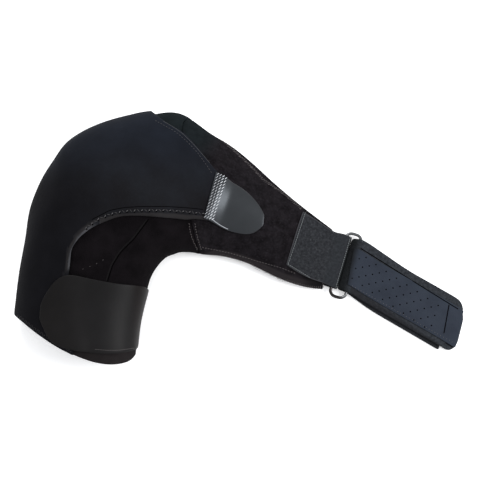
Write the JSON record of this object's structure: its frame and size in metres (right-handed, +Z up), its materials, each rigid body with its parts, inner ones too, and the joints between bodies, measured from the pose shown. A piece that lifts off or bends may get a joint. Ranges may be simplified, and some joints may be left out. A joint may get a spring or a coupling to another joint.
{
  "type": "shoulder brace",
  "caption": "Padded elbow-shaped shoulder and upper-arm sleeve with an arm tab, a hook-tabbed flap, and a chest band ending in a metal ring and a folded perforated strap.",
  "frame": {"origin": "middle of the brace's outline seen from above, on the surface that it lies on", "axes": "+X from the arm and shoulder sleeve towards the free end of the strap, +Y from the sleeve's arm opening towards the neck side, +Z up off the surface"},
  "size_m": [0.5112, 0.303, 0.0849],
  "materials": {
    "body_cloth": "matt black laminated neoprene",
    "cap_cloth": "soft black neoprene with a slight blue sheen",
    "loop_cloth": "brushed loop face, fuzzy and matt",
    "tab_cloth": "smooth satin cloth over a thin ply",
    "hook_plastic": "glossy grey moulded back of a hook tab",
    "webbing": "dark grey hook-faced webbing, speckled",
    "ring_metal": "bright plated wire",
    "strap_border": "dark slate border cloth",
    "strap_face": "slate perforated neoprene face"
  },
  "bodies": {
    "root": {"back_panel": "body_cloth", "front_panel": "body_cloth", "shoulder_cap": "cap_cloth", "chest_band": "loop_cloth", "arm_tab": "tab_cloth", "hook_tab": "hook_plastic", "ring_webbing": "webbing", "strap_ring": "ring_metal", "strap_core": "strap_border", "strap_cover": "strap_face"}
  },
  "joints": []
}
